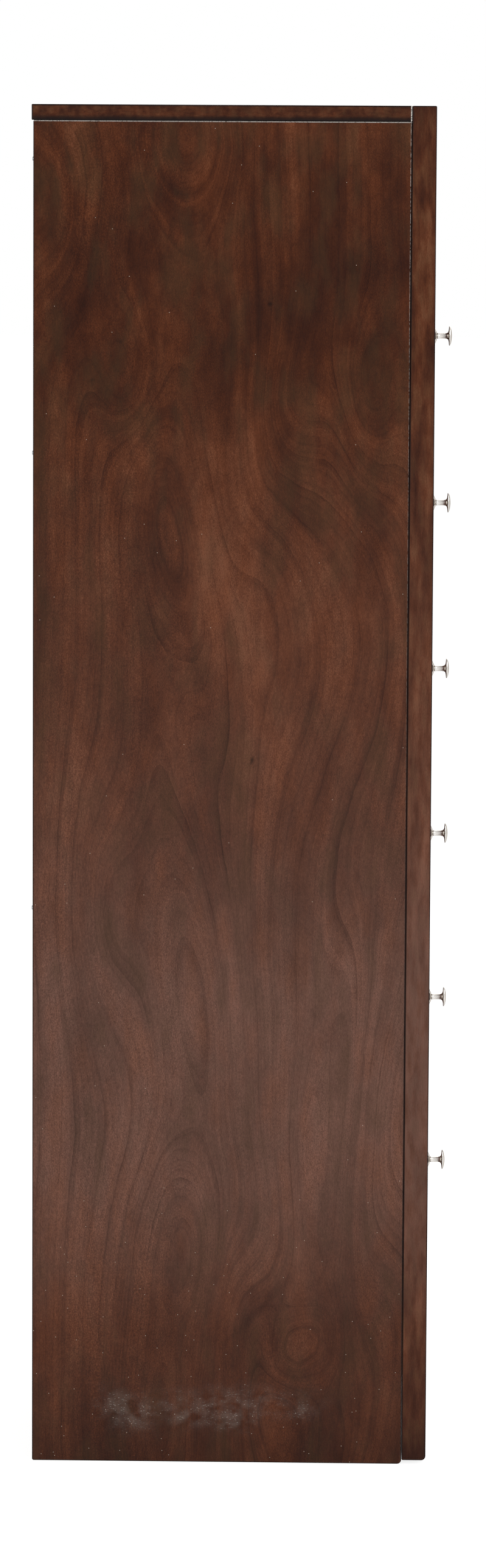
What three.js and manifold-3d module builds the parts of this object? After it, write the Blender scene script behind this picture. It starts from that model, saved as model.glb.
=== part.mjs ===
import * as THREE from 'three';
import { mergeVertices } from 'three/addons/utils/BufferGeometryUtils.js';
import Module from 'manifold-3d';

// A semainier: a tall, narrow chest of seven drawers, one for each day of the week.
// Lengths are millimetres, the width lies along X, the drawers open towards -Y and the
// chest stands on Z = 0. The case is two side panels with a face frame glued to their
// front edges, and a web frame housed in the side panels lies under each drawer. The top
// drawer is a plain frieze, and each of the drawers below it has one knob.

// Driving dimensions

const chest = {
  width: 508,
  sideDepth: 432,
  sideThickness: 18,
  baseHeight: 226.5, // floor to the lowest drawer opening
  openingHeight: 179,
  friezeOpeningHeight: 120,
  knobbedDrawers: 6,
  edgeEase: 0.9,
  cornerEaseShare: 1.6, // a board's corners are rounder than its edges by this much
};

const topPanel = {
  thickness: 18,
  backOverhang: 2,
};

const faceFrame = {
  thickness: 28,
  stileWidth: 38,
  railHeight: 19,
  topRailHeight: 40.5,
  footLift: 4.5, // the stiles and apron stop short of the floor
  tenonLength: 12,
  tenonThickness: 10,
  tenonShoulder: 3,
};

const footCorner = {
  frontRadius: 5,
  backRadius: 2,
};

const apron = {
  archHeight: 105,
  bracketWidth: 40,
  archRadius: 32,
  tenonShoulder: 24,
};

const webFrame = {
  memberWidth: 45,
  dadoDepth: 4,
  guideHeight: 12,
  stopWidth: 16,
  stopDepth: 23,
};

const backPanel = {
  thickness: 6,
  rabbetWidth: 9,
  lowerEdge: 110, // floor to the edge of the back panel and of the rail behind it
};

const caseRails = {
  cleatWidth: 34,
  rearTopRailWidth: 45,
  rearBaseRailThickness: 19,
};

const drawer = {
  reveal: 1.5,
  setback: 0.5,
  frontThickness: 20,
  frontEase: 1,
  sideThickness: 12,
  sideDrop: 6, // the side's top edge lies this far below the front's
  backThickness: 12,
  bottomThickness: 5,
  grooveDepth: 6,
  grooveRise: 10,
};

const dovetail = {
  frontLap: 6,
  pitch: 34,
  pinWidth: 8, // at its narrow end
  slopeShare: 1 / 7,
};

const knob = {
  projection: 22.5,
  headRadius: 11.7,
  headDepth: 7,
  stemRadius: 3.2,
  footRadius: 11,
  footDepth: 5,
  screwRadius: 2,
  screwHeadRadius: 4,
  screwHeadDepth: 2.5,
};

const fit = {
  glue: 0.2, // between faces that are glued or screwed together
  joint: 0.3, // round tenons, tails and tongues
  running: 0.3, // under and behind a closed drawer
  overrun: 3, // how far a cut runs past the face it opens
};

// Places worked out from the driving dimensions. Y is measured from the front of the
// face frame, and drawer 1 is the top one.

const halfWidth = chest.width / 2;
const cornerEase = chest.edgeEase * chest.cornerEaseShare;
const innerHalf = halfWidth - chest.sideThickness;
const openingHalf = halfWidth - faceFrame.stileWidth;

const carcassFront = faceFrame.thickness + fit.glue;
const carcassBack = carcassFront + chest.sideDepth;
const topBack = carcassBack + topPanel.backOverhang;
const backPanelFront = carcassBack - backPanel.thickness;
const innerBack = backPanelFront - fit.glue;
const stopFront = innerBack - webFrame.stopDepth;

const storeyHeight = chest.openingHeight + faceFrame.railHeight;
const openingHeights = [chest.friezeOpeningHeight];
const openingBottoms = [chest.baseHeight + chest.knobbedDrawers * storeyHeight];
for (let storey = chest.knobbedDrawers - 1; storey >= 0; storey -= 1) {
  openingHeights.push(chest.openingHeight);
  openingBottoms.push(chest.baseHeight + storey * storeyHeight);
}
const lowestFrameBottom = chest.baseHeight - faceFrame.railHeight;
const topRailBottom = openingBottoms[0] + chest.friezeOpeningHeight;
const chestHeight = topRailBottom + faceFrame.topRailHeight;
const caseTop = chestHeight - topPanel.thickness - fit.glue;

const knobTip = drawer.setback - fit.glue - knob.projection;
const middleOfDepth = (knobTip + topBack) / 2;

// Finishes

const finishes = {
  stainedVeneer: { color: '#4b3026', roughness: 0.42 },
  stainedEdge: { color: '#5d3d2c', roughness: 0.4 },
  stainedTop: { color: '#402a20', roughness: 0.4 },
  frameWood: { color: '#6b4a35', roughness: 0.6 },
  backPly: { color: '#7a5a40', roughness: 0.7 },
  drawerBoxWood: { color: '#b8935f', roughness: 0.55 },
  drawerBottomPly: { color: '#c2a375', roughness: 0.6 },
  polishedNickel: { color: '#cfccc6', roughness: 0.12, metalness: 1 },
};

function finish(name) {
  return new THREE.MeshStandardMaterial({ metalness: 0, ...finishes[name] });
}

// Solids: three.js shapes the pieces and manifold-3d joins and cuts them

const wasm = await Module();
wasm.setup();

function solidOf(geometry) {
  const plain = geometry.clone();
  plain.deleteAttribute('normal');
  plain.deleteAttribute('uv');
  const merged = mergeVertices(plain);
  const mesh = new wasm.Mesh({
    numProp: 3,
    vertProperties: Float32Array.from(merged.attributes.position.array),
    triVerts: Uint32Array.from(merged.index.array),
  });
  return new wasm.Manifold(mesh);
}

function geometryOf(solid) {
  const mesh = solid.getMesh();
  const geometry = new THREE.BufferGeometry();
  geometry.setAttribute('position', new THREE.BufferAttribute(mesh.vertProperties, 3));
  geometry.setIndex(new THREE.BufferAttribute(mesh.triVerts, 1));
  geometry.computeVertexNormals();
  return geometry;
}

function shaped(base, { added = [], cut = [] }) {
  let solid = solidOf(base);
  for (const geometry of added) {
    solid = solid.add(solidOf(geometry));
  }
  for (const geometry of cut) {
    solid = solid.subtract(solidOf(geometry));
  }
  return geometryOf(solid);
}

// A rectangular block between two places on each axis, given in either order
function block(xs, ys, zs) {
  const sizes = [xs, ys, zs].map(([from, to]) => Math.abs(to - from));
  const middles = [xs, ys, zs].map(([from, to]) => (from + to) / 2);
  return new THREE.BoxGeometry(...sizes).translate(...middles);
}

// A closed outline through corners [across, up, radius], each radius a true arc
function outline(corners, path = new THREE.Shape()) {
  const places = corners.map(([across, up]) => new THREE.Vector2(across, up));
  corners.forEach(([, , radius = 0], i) => {
    const here = places[i];
    if (radius === 0) {
      if (i === 0) {
        path.moveTo(here.x, here.y);
      } else {
        path.lineTo(here.x, here.y);
      }
      return;
    }
    const before = places[(i + places.length - 1) % places.length].clone().sub(here).normalize();
    const after = places[(i + 1) % places.length].clone().sub(here).normalize();
    const halfAngle = Math.acos(before.dot(after)) / 2;
    const tangentLength = radius / Math.tan(halfAngle);
    const inwards = before.clone().add(after).normalize();
    const centre = here.clone().addScaledVector(inwards, radius / Math.sin(halfAngle));
    const start = here.clone().addScaledVector(before, tangentLength).sub(centre);
    const end = here.clone().addScaledVector(after, tangentLength).sub(centre);
    const clockwise = before.cross(after) > 0;
    path.absarc(centre.x, centre.y, radius, start.angle(), end.angle(), clockwise);
  });
  return path;
}

function rectangle([fromU, toU], [fromV, toV], radius = 0) {
  return [
    [fromU, fromV, radius],
    [toU, fromV, radius],
    [toU, toV, radius],
    [fromU, toV, radius],
  ];
}

// A board of the given thickness with its two faces eased into its edges. Each quarter arc
// in its outline has twice as many faces as arcSteps.
function board(shape, thickness, ease = 0, arcSteps = 1) {
  const geometry = new THREE.ExtrudeGeometry(shape, {
    depth: thickness - 2 * ease,
    bevelEnabled: ease > 0,
    bevelThickness: ease,
    bevelSize: ease,
    bevelOffset: -ease,
    bevelSegments: 2,
    curveSegments: arcSteps,
  });
  return geometry.translate(0, 0, ease);
}

// The outline lies in Y and Z, and the board's thickness runs from fromX to toX
function boardAlongX(shape, [fromX, toX], ease = 0, arcSteps = 1) {
  const low = Math.min(fromX, toX);
  const turn = new THREE.Matrix4().makeBasis(
    new THREE.Vector3(0, 1, 0),
    new THREE.Vector3(0, 0, 1),
    new THREE.Vector3(1, 0, 0),
  );
  const upright = board(shape, Math.abs(toX - fromX), ease, arcSteps).applyMatrix4(turn);
  return upright.translate(low, 0, 0);
}

// The outline lies in X and Z, and the board's thickness runs from fromY to toY
function boardAlongY(shape, [fromY, toY], ease = 0, arcSteps = 1) {
  const turn = new THREE.Matrix4().makeBasis(
    new THREE.Vector3(1, 0, 0),
    new THREE.Vector3(0, 0, 1),
    new THREE.Vector3(0, -1, 0),
  );
  return board(shape, toY - fromY, ease, arcSteps).applyMatrix4(turn).translate(0, toY, 0);
}

// The outline lies in X and Y, and the board's thickness runs from fromZ to toZ
function boardAlongZ(shape, [fromZ, toZ], ease = 0) {
  return board(shape, toZ - fromZ, ease).translate(0, 0, fromZ);
}

function mirroredSpans(near, far) {
  return [[near, far], [-far, -near]];
}

// Case

const group = new THREE.Group();
group.position.y = -middleOfDepth;

function addPiece(parent, name, geometry, finishName) {
  const mesh = new THREE.Mesh(geometry, finish(finishName));
  mesh.name = name;
  parent.add(mesh);
  return mesh;
}

const hands = [
  { name: 'left', sign: -1 },
  { name: 'right', sign: 1 },
];

const footSteps = 2;
const archSteps = 4;

function sidePanel(sign) {
  const ends = [carcassFront, carcassBack];
  const profile = [
    [ends[0], 0, footCorner.frontRadius],
    [ends[1], 0, footCorner.backRadius],
    [ends[1], caseTop, cornerEase],
    [ends[0], caseTop, cornerEase],
  ];
  const faces = [sign * innerHalf, sign * halfWidth];
  const blank = boardAlongX(outline(profile), faces, chest.edgeEase, footSteps);
  const pastInside = sign * (innerHalf - fit.overrun);
  const rabbet = block(
    [pastInside, sign * (innerHalf + backPanel.rabbetWidth)],
    [innerBack, carcassBack + fit.overrun],
    [-fit.overrun, caseTop + fit.overrun],
  );
  const dados = openingBottoms.map((shelf) => block(
    [pastInside, sign * (innerHalf + webFrame.dadoDepth)],
    [carcassFront - fit.overrun, innerBack + fit.glue],
    [shelf - faceFrame.railHeight - fit.glue, shelf + fit.glue],
  ));
  return shaped(blank, { cut: [rabbet, ...dados] });
}

// Tenons are let into the stiles at each web frame, at the top rail and at the apron
const tenonFront = (faceFrame.thickness - faceFrame.tenonThickness) / 2;
const tenonY = [tenonFront, tenonFront + faceFrame.tenonThickness];
const railTenonZ = openingBottoms.map((shelf) => [
  shelf - faceFrame.railHeight + faceFrame.tenonShoulder,
  shelf - faceFrame.tenonShoulder,
]);
const topRailTenonZ = [
  topRailBottom + faceFrame.tenonShoulder,
  chestHeight - topPanel.thickness,
];
const apronTop = lowestFrameBottom - fit.glue;
const apronTenonZ = [
  faceFrame.footLift + apron.tenonShoulder,
  apronTop - apron.tenonShoulder,
];

function tenons(tenonZ) {
  const spans = mirroredSpans(openingHalf - fit.overrun, openingHalf + faceFrame.tenonLength);
  return spans.map((span) => block(span, tenonY, tenonZ));
}

function stile(sign) {
  const profile = [
    [0, faceFrame.footLift, footCorner.frontRadius],
    [faceFrame.thickness, faceFrame.footLift, cornerEase],
    [faceFrame.thickness, chestHeight, cornerEase],
    [0, chestHeight, cornerEase],
  ];
  const faces = [sign * openingHalf, sign * halfWidth];
  const blank = boardAlongX(outline(profile), faces, chest.edgeEase, footSteps);
  const mortises = [...railTenonZ, topRailTenonZ, apronTenonZ].map(([bottom, top]) => block(
    [sign * (openingHalf - fit.overrun), sign * (openingHalf + faceFrame.tenonLength + fit.joint)],
    [tenonY[0] - fit.joint, tenonY[1] + fit.joint],
    [bottom - fit.joint, top + fit.joint],
  ));
  return shaped(blank, { cut: mortises });
}

const betweenStiles = [-openingHalf + fit.glue, openingHalf - fit.glue];

// A rail's section in Y and Z, with the arris eased along both front edges
function railSection(depth, [bottom, top]) {
  return outline([
    [0, bottom, chest.edgeEase],
    [depth, bottom],
    [depth, top],
    [0, top, chest.edgeEase],
  ]);
}

function topRail() {
  const section = railSection(faceFrame.thickness, [topRailBottom, chestHeight]);
  return shaped(boardAlongX(section, betweenStiles), { added: tenons(topRailTenonZ) });
}

function apronBoard() {
  const [left, right] = betweenStiles;
  const archHalf = openingHalf - apron.bracketWidth;
  const archTop = faceFrame.footLift + apron.archHeight;
  const profile = [
    [left, faceFrame.footLift],
    [-archHalf, faceFrame.footLift],
    [-archHalf, archTop, apron.archRadius],
    [archHalf, archTop, apron.archRadius],
    [archHalf, faceFrame.footLift],
    [right, faceFrame.footLift],
    [right, apronTop],
    [left, apronTop],
  ];
  const blank = boardAlongY(outline(profile), [0, faceFrame.thickness], 0, archSteps);
  return shaped(blank, { added: tenons(apronTenonZ) });
}

function topBoard() {
  const plan = rectangle([-halfWidth, halfWidth], [carcassFront, topBack], cornerEase);
  return boardAlongZ(outline(plan), [chestHeight - topPanel.thickness, chestHeight], chest.edgeEase);
}

function backBoard() {
  const reach = innerHalf + backPanel.rabbetWidth - fit.joint;
  return block([-reach, reach], [backPanelFront, carcassBack], [backPanel.lowerEdge, caseTop]);
}

const acrossCase = [-innerHalf + fit.glue, innerHalf - fit.glue];
const underTop = [topRailBottom, caseTop];
const rearTopRailFront = innerBack - caseRails.rearTopRailWidth;

function topCleat(sign) {
  return block(
    [sign * (innerHalf - fit.glue - caseRails.cleatWidth), sign * (innerHalf - fit.glue)],
    [carcassFront, rearTopRailFront - fit.glue],
    underTop,
  );
}

for (const { name, sign } of hands) {
  addPiece(group, `${name}_side_panel`, sidePanel(sign), 'stainedVeneer');
  addPiece(group, `${name}_stile`, stile(sign), 'stainedEdge');
  addPiece(group, `${name}_top_cleat`, topCleat(sign), 'frameWood');
}
addPiece(group, 'top_panel', topBoard(), 'stainedTop');
addPiece(group, 'top_rail', topRail(), 'stainedEdge');
addPiece(group, 'apron', apronBoard(), 'stainedEdge');
addPiece(group, 'back_panel', backBoard(), 'backPly');
addPiece(
  group,
  'rear_top_rail',
  block(acrossCase, [rearTopRailFront, innerBack], underTop),
  'frameWood',
);
addPiece(
  group,
  'rear_base_rail',
  block(
    acrossCase,
    [innerBack - caseRails.rearBaseRailThickness, innerBack],
    [backPanel.lowerEdge, apronTop],
  ),
  'frameWood',
);

// Web frames, drawn with their top face, which the drawer runs on, at Z = 0. Each has the
// front rail seen between the drawers, a ring of members housed in the side panels, and on
// the ring the guides that the drawer slides between and the stops behind its sides.

function webFrameSolid() {
  const thickness = faceFrame.railHeight;
  const reach = innerHalf + webFrame.dadoDepth - fit.joint;
  const holeHalf = innerHalf - webFrame.memberWidth;
  const holeFront = carcassFront + webFrame.memberWidth;
  const holeBack = innerBack - webFrame.memberWidth;
  const ringPlan = outline(rectangle([-reach, reach], [carcassFront, innerBack]));
  ringPlan.holes.push(
    outline(rectangle([-holeHalf, holeHalf], [holeFront, holeBack]), new THREE.Path()),
  );
  const ring = boardAlongZ(ringPlan, [-thickness, 0]);
  const rail = boardAlongX(railSection(holeFront, [-thickness, 0]), betweenStiles);
  const tenonZ = [-thickness + faceFrame.tenonShoulder, -faceFrame.tenonShoulder];
  const guides = hands.map(({ sign }) => {
    const outer = sign * (innerHalf - fit.glue);
    const inner = sign * openingHalf;
    const stopInner = sign * (openingHalf - webFrame.stopWidth);
    const plan = [
      [outer, carcassFront],
      [outer, innerBack],
      [stopInner, innerBack],
      [stopInner, stopFront],
      [inner, stopFront],
      [inner, carcassFront],
    ];
    if (sign < 0) {
      plan.reverse();
    }
    return boardAlongZ(outline(plan), [-thickness / 2, webFrame.guideHeight]);
  });
  return shaped(ring, { added: [rail, ...tenons(tenonZ), ...guides] });
}

const webFrameGeometry = webFrameSolid();
openingBottoms.forEach((shelf, i) => {
  const frame = addPiece(group, `drawer_frame_${i + 1}`, webFrameGeometry, 'frameWood');
  frame.position.z = shelf;
});

// Drawer boxes, drawn with the runner that they slide on at Z = 0. The sides are joined to
// the front by lapped dovetails and to the back by through dovetails, and the bottom slides
// in from behind, under the back, in grooves in the sides and the front.

const boxOuter = openingHalf - drawer.reveal;
const boxInner = boxOuter - drawer.sideThickness;
const frontBack = drawer.setback + drawer.frontThickness;
const boxRear = stopFront - fit.running;
const rearBoardFront = boxRear - drawer.backThickness;
const sideBottom = fit.running;
const grooveZ = [
  sideBottom + drawer.grooveRise,
  sideBottom + drawer.grooveRise + drawer.bottomThickness + 2 * fit.glue,
];
const grooveReach = boxInner + drawer.grooveDepth;

// Tails side by side up the edge of a board. Each is a list of corners in Y and Z that starts
// and ends at the root, so the lists join into a side's edge, or stand alone, widened by the
// slack, as cutters for the sockets. A tail is widest at its tip.
function tails({ span: [bottom, top], tip }, [root, end], slack = 0) {
  const count = Math.max(1, Math.round((top - bottom) / dovetail.pitch));
  const pitch = (top - bottom) / count;
  const tipHalf = (pitch - dovetail.pinWidth) / 2 + slack;
  const widening = Math.sign(tip - root) * dovetail.slopeShare;
  const halfAt = (y) => tipHalf + (y - tip) * widening;
  return Array.from({ length: count }, (_, i) => {
    const middle = bottom + pitch * (i + 0.5);
    return [
      [root, middle - halfAt(root)],
      [end, middle - halfAt(end)],
      [end, middle + halfAt(end)],
      [root, middle + halfAt(root)],
    ];
  });
}

function drawerBox(openingHeight) {
  const frontZ = [drawer.reveal, openingHeight - drawer.reveal];
  const sideTop = frontZ[1] - drawer.sideDrop;
  const lapTip = drawer.setback + dovetail.frontLap;
  const frontTails = { span: [frontZ[0], sideTop], tip: lapTip };
  const rearTails = { span: [grooveZ[1], sideTop], tip: boxRear };
  return { frontZ, sideTop, frontTails, rearTails };
}

function drawerFront(box, hasKnob) {
  const corner = drawer.frontEase * chest.cornerEaseShare;
  const plan = rectangle([-boxOuter, boxOuter], box.frontZ, corner);
  const blank = boardAlongY(outline(plan), [drawer.setback, frontBack], drawer.frontEase);
  const groove = block(
    [-grooveReach, grooveReach],
    [frontBack - drawer.grooveDepth, frontBack + fit.overrun],
    grooveZ,
  );
  const reach = [frontBack + fit.overrun, box.frontTails.tip - fit.joint];
  const socketTails = tails(box.frontTails, reach, fit.joint);
  const sockets = mirroredSpans(boxInner - fit.joint, boxOuter + fit.overrun).flatMap(
    (span) => socketTails.map((tail) => boardAlongX(outline(tail), span)),
  );
  const screwHoles = hasKnob ? [screwHole((box.frontZ[0] + box.frontZ[1]) / 2)] : [];
  return shaped(blank, { cut: [groove, ...sockets, ...screwHoles] });
}

const roundSides = 20;
const holeSides = 12;

function screwHole(height) {
  const radius = knob.screwRadius + fit.joint;
  const length = drawer.frontThickness + 2 * fit.overrun;
  const middle = drawer.setback + drawer.frontThickness / 2;
  return new THREE.CylinderGeometry(radius, radius, length, holeSides).translate(0, middle, height);
}

function drawerSide(box, sign) {
  const frontShoulder = frontBack + fit.joint;
  const rearShoulder = rearBoardFront - fit.joint;
  const frontTails = tails(box.frontTails, [frontShoulder, box.frontTails.tip]);
  const rearTails = tails(box.rearTails, [rearShoulder, boxRear]);
  const skirtTop = grooveZ[1] - fit.joint;
  const profile = [
    [frontShoulder, sideBottom],
    [boxRear, sideBottom],
    [boxRear, skirtTop],
    [rearShoulder, skirtTop],
    ...rearTails.flat(),
    [rearShoulder, box.sideTop],
    [frontShoulder, box.sideTop],
    ...frontTails.flat().reverse(),
  ];
  const blank = boardAlongX(outline(profile), [sign * boxInner, sign * boxOuter]);
  const groove = block(
    [sign * (boxInner - fit.overrun), sign * grooveReach],
    [drawer.setback, boxRear + fit.overrun],
    grooveZ,
  );
  return shaped(blank, { cut: [groove] });
}

function drawerBack(box) {
  const blank = block([-boxOuter, boxOuter], [rearBoardFront, boxRear], [grooveZ[1], box.sideTop]);
  const reach = [rearBoardFront - fit.overrun, boxRear + fit.overrun];
  const socketTails = tails(box.rearTails, reach, fit.joint);
  const sockets = mirroredSpans(boxInner - fit.joint, boxOuter + fit.overrun).flatMap(
    (span) => socketTails.map((tail) => boardAlongX(outline(tail), span)),
  );
  return shaped(blank, { cut: sockets });
}

function drawerBottom() {
  const reach = grooveReach - fit.joint;
  return block(
    [-reach, reach],
    [frontBack - drawer.grooveDepth + fit.joint, boxRear - fit.joint],
    [grooveZ[0] + fit.glue, grooveZ[1] - fit.glue],
  );
}

function makeDrawer(number, openingHeight, hasKnob) {
  const box = drawerBox(openingHeight);
  const drawerGroup = new THREE.Group();
  const name = `drawer_${number}`;
  addPiece(drawerGroup, `${name}_front`, drawerFront(box, hasKnob), 'stainedEdge');
  for (const hand of hands) {
    addPiece(drawerGroup, `${name}_${hand.name}_side`, drawerSide(box, hand.sign), 'drawerBoxWood');
  }
  addPiece(drawerGroup, `${name}_back`, drawerBack(box), 'drawerBoxWood');
  addPiece(drawerGroup, `${name}_bottom`, drawerBottom(), 'drawerBottomPly');
  return drawerGroup;
}

openingBottoms.forEach((shelf, i) => {
  const drawerGroup = makeDrawer(i + 1, openingHeights[i], i > 0);
  drawerGroup.position.z = shelf;
  group.add(drawerGroup);
});

// Knobs. The outline runs from the knob's tip to the head of the screw inside the drawer:
// a thin domed head, a slender stem and a cushion-shaped foot, as shares of the step in
// radius and of the depth that each takes.

const headOutlineShares = [
  [0.4, 0.91],
  [0.73, 0.79],
  [0.93, 0.68],
  [1, 0.59],
  [0.94, 0.51],
  [0.55, 0.44],
  [0.2, 0.35],
  [0.06, 0.2],
  [0, 0],
];
const footOutlineShares = [
  [0, 1],
  [0.15, 0.91],
  [0.4, 0.75],
  [0.69, 0.57],
  [0.87, 0.4],
  [0.97, 0.22],
  [1, 0],
];

function knobSolid() {
  const headBottom = knob.projection - knob.headDepth;
  const headStep = knob.headRadius - knob.stemRadius;
  const footStep = knob.footRadius - knob.stemRadius;
  const screwEnd = -(drawer.frontThickness + 2 * fit.glue);
  const screwTip = screwEnd - knob.screwHeadDepth;
  const profile = [
    [0, knob.projection],
    ...headOutlineShares.map(([step, along]) => [
      knob.stemRadius + headStep * step,
      headBottom + knob.headDepth * along,
    ]),
    ...footOutlineShares.map(([step, along]) => [
      knob.stemRadius + footStep * step,
      knob.footDepth * along,
    ]),
    [knob.screwRadius, 0],
    [knob.screwRadius, screwEnd],
    [knob.screwHeadRadius, screwEnd],
    [knob.screwHeadRadius, screwTip],
    [0, screwTip],
  ];
  const points = profile.map(([radius, along]) => new THREE.Vector2(radius, along)).reverse();
  return geometryOf(solidOf(new THREE.LatheGeometry(points, roundSides)));
}

const knobGeometry = knobSolid();
openingBottoms.slice(1).forEach((shelf, i) => {
  const knobMesh = addPiece(group, `drawer_${i + 2}_knob`, knobGeometry, 'polishedNickel');
  knobMesh.rotation.x = Math.PI;
  knobMesh.position.set(0, drawer.setback - fit.glue, shelf + chest.openingHeight / 2);
});

export default group;
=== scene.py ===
# %% [markdown]
# A semainier is a tall, narrow chest with one drawer for each day of the week. This script
# dresses one that is veneered in flat-cut wood, stained dark brown and lacquered to a
# satin. The joinery comes already packed, in metres, so every finish and every extra
# piece is placed by the sizes read from it.

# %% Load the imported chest
import math
from functools import partial

import bmesh
import bpy
from mathutils import Matrix, Vector


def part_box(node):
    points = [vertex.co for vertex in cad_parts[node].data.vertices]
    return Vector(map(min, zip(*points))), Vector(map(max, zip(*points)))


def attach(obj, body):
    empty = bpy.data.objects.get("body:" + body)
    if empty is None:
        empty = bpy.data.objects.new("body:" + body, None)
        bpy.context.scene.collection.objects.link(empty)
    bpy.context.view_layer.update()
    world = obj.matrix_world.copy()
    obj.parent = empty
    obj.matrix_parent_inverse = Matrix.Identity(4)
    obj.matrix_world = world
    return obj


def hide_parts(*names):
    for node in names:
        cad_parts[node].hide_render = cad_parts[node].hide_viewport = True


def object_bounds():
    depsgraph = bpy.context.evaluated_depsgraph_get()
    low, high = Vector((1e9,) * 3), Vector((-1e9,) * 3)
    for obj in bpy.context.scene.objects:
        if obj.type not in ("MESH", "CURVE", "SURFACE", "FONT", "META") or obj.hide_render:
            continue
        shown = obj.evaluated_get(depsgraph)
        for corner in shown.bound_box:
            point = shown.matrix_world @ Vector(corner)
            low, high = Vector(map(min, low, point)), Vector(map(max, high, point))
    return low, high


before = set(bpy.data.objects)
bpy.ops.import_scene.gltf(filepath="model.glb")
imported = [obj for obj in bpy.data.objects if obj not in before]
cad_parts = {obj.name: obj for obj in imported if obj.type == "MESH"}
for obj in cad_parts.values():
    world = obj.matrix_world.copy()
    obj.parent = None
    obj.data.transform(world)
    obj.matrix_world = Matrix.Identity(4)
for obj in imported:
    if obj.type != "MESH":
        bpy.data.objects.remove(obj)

joinery_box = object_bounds()
chest_low, chest_high = joinery_box
print("joinery box", [round(v, 4) for v in (*chest_low, *chest_high)])

# %% [markdown]
# The camera stands far off to the left of the chest and a little above the middle, so the
# long side panel fills the tall picture. A long lens keeps the edges almost parallel. It
# could be aimed with a constraint, but here its turn is written out as a heading, a
# downward tilt and a small roll, because a photographer sets a tripod head in that way.

# %% Camera
MM = 0.001
picture_width, picture_height = 799, 2576
focal_pixels = 9418  # how long the lens is, counted in the picture's pixels
camera_place = Vector((-6822, -162, 1526)) * MM
heading, tilt, roll = (math.radians(angle) for angle in (1.388, -6.328, 0.293))

forward = Vector((
    math.cos(tilt) * math.cos(heading),
    math.cos(tilt) * math.sin(heading),
    math.sin(tilt),
))
level_right = Vector((math.sin(heading), -math.cos(heading), 0))
level_up = level_right.cross(forward)
right = level_right * math.cos(roll) + level_up * math.sin(roll)
up = level_up * math.cos(roll) - level_right * math.sin(roll)

camera_data = bpy.data.cameras.new("long_lens")
camera_data.sensor_width = 36
camera_data.lens = focal_pixels / picture_height * camera_data.sensor_width
camera = bpy.data.objects.new("camera", camera_data)
camera.matrix_world = Matrix.Translation(camera_place) @ Matrix(
    (right, up, -forward)
).transposed().to_4x4()
bpy.context.scene.collection.objects.link(camera)
bpy.context.scene.camera = camera
bpy.context.scene.view_settings.view_transform = "Standard"
print("lens", round(camera_data.lens, 1), "mm")

# %% [markdown]
# A finish is a chain of small nodes. They could be joined by hand in the shader editor.
# One helper adds a node, fills its inputs with numbers or links, and hands back the output
# to use next, so a finish reads as a list of steps. Colours are written as on a paint
# card, and one function turns them into the linear light that the renderer works in. A
# ramp's stop may also be a plain number, where the ramp gives a share and not a colour.

# %% Helpers for finishes
def linear(hex_colour):
    """Turn a colour such as '#5a3a2c' into linear light with full opacity."""
    shares = [int(hex_colour[i:i + 2], 16) / 255 for i in (1, 3, 5)]
    light = [s / 12.92 if s <= 0.04045 else ((s + 0.055) / 1.055) ** 2.4 for s in shares]
    return (*light, 1)


def add_node(tree, kind, inputs=None, out=0, stops=None, **settings):
    """Add one node with its settings, inputs and links, and return one of its outputs."""
    node = tree.nodes.new("ShaderNode" + kind)
    for name, value in settings.items():
        setattr(node, name, value)
    for key, value in (inputs or {}).items():
        if isinstance(value, bpy.types.NodeSocket):
            tree.links.new(value, node.inputs[key])
        else:
            node.inputs[key].default_value = value
    if stops:
        elements = node.color_ramp.elements
        while len(elements) < len(stops):
            elements.new(1)
        for element, (place, stop) in zip(elements, stops):
            element.position = place
            element.color = linear(stop) if isinstance(stop, str) else (stop, stop, stop, 1)
    return node.outputs[out]


def new_finish(name, **sockets):
    """Start a material and return it with its shader's inputs and its node adder."""
    material = bpy.data.materials.new(name)
    material.use_nodes = True
    tree = material.node_tree
    shader = tree.nodes["Principled BSDF"]
    for socket, value in sockets.items():
        shader.inputs[socket.replace("_", " ")].default_value = value
    return material, shader, partial(add_node, tree)


def feed(shader, **sockets):
    """Link outputs to the shader's inputs."""
    for socket, output in sockets.items():
        output.node.id_data.links.new(output, shader.inputs[socket.replace("_", " ")])


def dress(material, *nodes):
    """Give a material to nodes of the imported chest."""
    for name in nodes:
        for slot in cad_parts[name].material_slots:
            slot.material = material
    print(material.name, "on", ", ".join(nodes))


# %% [markdown]
# The chest stands on a plain pale floor in soft studio light. White walls could be built
# round it. Here the world itself is the white room: rays that look at the background see
# full white, also by way of polished metal, while the light that it sheds is held lower,
# and large soft lamps round the chest give each face its own shade.

# %% Room, floor and lamps
def seen_directly(add):
    """1 for rays that look at the background, straight or through a reflection."""
    rays = add("LightPath").node.outputs
    seen = rays["Is Camera Ray"]
    for kind in ("Is Glossy Ray", "Is Transmission Ray"):
        seen = add("Math", {0: seen, 1: rays[kind]}, operation="MAXIMUM")
    return seen


room_light = 0.5  # the light that the room sheds, as a share of the white that it shows
floor_white = 0.86  # with its share of lamp light, the floor then shows as white
world = bpy.data.worlds.new("white_room")
bpy.context.scene.world = world
world.use_nodes = True
add = partial(add_node, world.node_tree)
glow = add(
    "Math", {0: seen_directly(add), 1: 1 - room_light, 2: room_light}, operation="MULTIPLY_ADD"
)
background = world.node_tree.nodes["Background"]
background.inputs["Color"].default_value = linear("#ffffff")
world.node_tree.links.new(glow, background.inputs["Strength"])

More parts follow.
